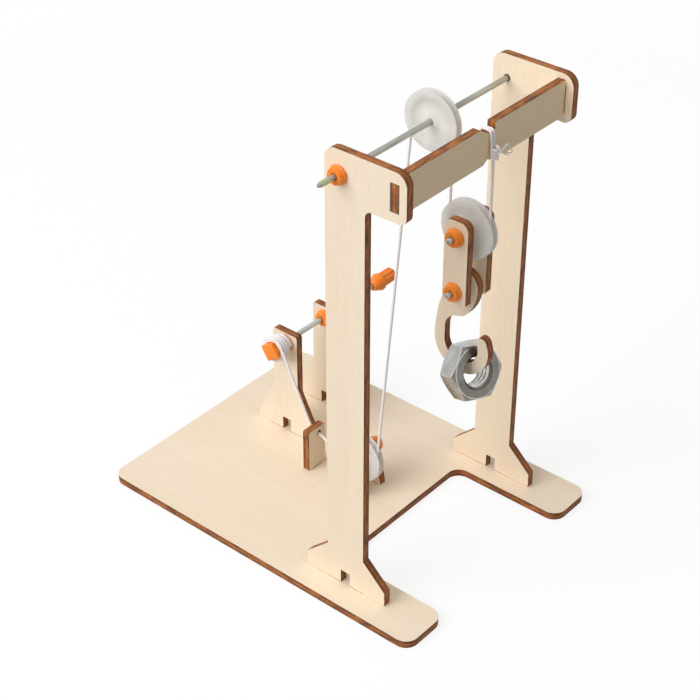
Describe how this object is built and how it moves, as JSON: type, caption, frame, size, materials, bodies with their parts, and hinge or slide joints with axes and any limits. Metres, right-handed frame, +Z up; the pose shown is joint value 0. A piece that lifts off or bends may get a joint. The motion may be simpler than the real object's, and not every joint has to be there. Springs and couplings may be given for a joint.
{
  "type": "pulley demonstrator",
  "caption": "Tabletop plywood gallows with a hand winch, guided cord, fixed pulleys and a movable block whose hook carries a steel nut, for showing how pulleys share a load.",
  "frame": {"origin": "middle of the base plate's underside, on the table", "axes": "+Z up, +X along the base from the winch to its open end, +Y along the axles towards the winding knob"},
  "size_m": [0.144, 0.1278, 0.1771],
  "materials": {
    "plywood": "bare laser-cut plywood with scorched edges",
    "orange_plastic": "moulded, slightly soft",
    "pulley_plastic": "moulded, translucent white",
    "steel_rod": "drawn",
    "zinc_steel": "zinc plated",
    "cord": "twisted white cotton"
  },
  "bodies": {
    "frame": {"base_plate": "plywood", "front_post": "plywood", "rear_post": "plywood", "cross_beam": "plywood", "near_winch_support": "plywood", "far_winch_support": "plywood", "guide_plate": "plywood", "near_pulley_bracket": "plywood", "far_pulley_bracket": "plywood", "cord_run": "cord", "cord_beam_tie": "cord", "cord_hoist_strand": "cord", "cord_fixed_strand": "cord"},
    "winch": {"winch_shaft": "steel_rod", "winch_drum": "orange_plastic", "winding_knob": "orange_plastic", "winch_inner_bush": "orange_plastic", "winch_outer_bush": "orange_plastic", "cord_drum_winding": "cord"},
    "top_pulley_set": {"top_axle": "steel_rod", "top_pulley": "pulley_plastic", "top_axle_front_bush": "orange_plastic", "top_axle_rear_bush": "orange_plastic"},
    "foot_pulley_set": {"foot_pulley": "pulley_plastic", "foot_pulley_pin": "steel_rod", "foot_pulley_near_bush": "orange_plastic", "foot_pulley_far_bush": "orange_plastic"},
    "block": {"near_block_cheek": "plywood", "far_block_cheek": "plywood", "hook_pin": "steel_rod", "hook_near_bush": "orange_plastic", "hook_far_bush": "orange_plastic", "cord_block_wrap": "cord"},
    "block_pulley_set": {"block_pulley": "pulley_plastic", "block_pulley_pin": "steel_rod", "block_pulley_near_bush": "orange_plastic", "block_pulley_far_bush": "orange_plastic"},
    "hook": {"hook": "plywood"},
    "load": {"hex_nut": "zinc_steel"}
  },
  "joints": [
    {"name": "winch_turn", "type": "hinge", "parent": "frame", "child": "winch", "pos_m": [-0.0395, 0.02, 0.0447], "axis": [0, -1, 0], "range_deg": [-1376, 367], "deforming": ["cord_drum_winding"]},
    {"name": "top_pulley_turn", "type": "hinge", "parent": "frame", "child": "top_pulley_set", "pos_m": [0.0337, 0.0015, 0.1666], "axis": [0, -1, 0], "range_deg": [-860, 230]},
    {"name": "foot_pulley_turn", "type": "hinge", "parent": "frame", "child": "foot_pulley_set", "pos_m": [0.0043, 0.0015, 0.0173], "axis": [0, 1, 0], "range_deg": [-860, 230]},
    {"name": "block_lift", "type": "slide", "parent": "frame", "child": "block", "axis": [0, 0, 1], "range_m": [-0.06, 0.016], "deforming": ["cord_hoist_strand", "cord_fixed_strand"]},
    {"name": "block_pulley_turn", "type": "hinge", "parent": "block", "child": "block_pulley_set", "pos_m": [0.0497, 0.0015, 0.133], "axis": [0, 1, 0], "range_deg": [-430, 115]},
    {"name": "hook_swing", "type": "hinge", "parent": "block", "child": "hook", "pos_m": [0.0497, 0.0015, 0.1123], "axis": [0, 1, 0], "range_deg": [-25, 25]},
    {"name": "nut_swing", "type": "hinge", "parent": "hook", "child": "load", "pos_m": [0.05189, 0.0015, 0.08172], "axis": [0.9118, -0.2273, 0.342], "range_deg": [-10, 10]}
  ],
  "couplings": [
    {"joint": "winch_turn", "follows": "block_lift", "rad_per_m": 400},
    {"joint": "top_pulley_turn", "follows": "block_lift", "rad_per_m": 250},
    {"joint": "foot_pulley_turn", "follows": "block_lift", "rad_per_m": 250},
    {"joint": "block_pulley_turn", "follows": "block_lift", "rad_per_m": 125}
  ]
}
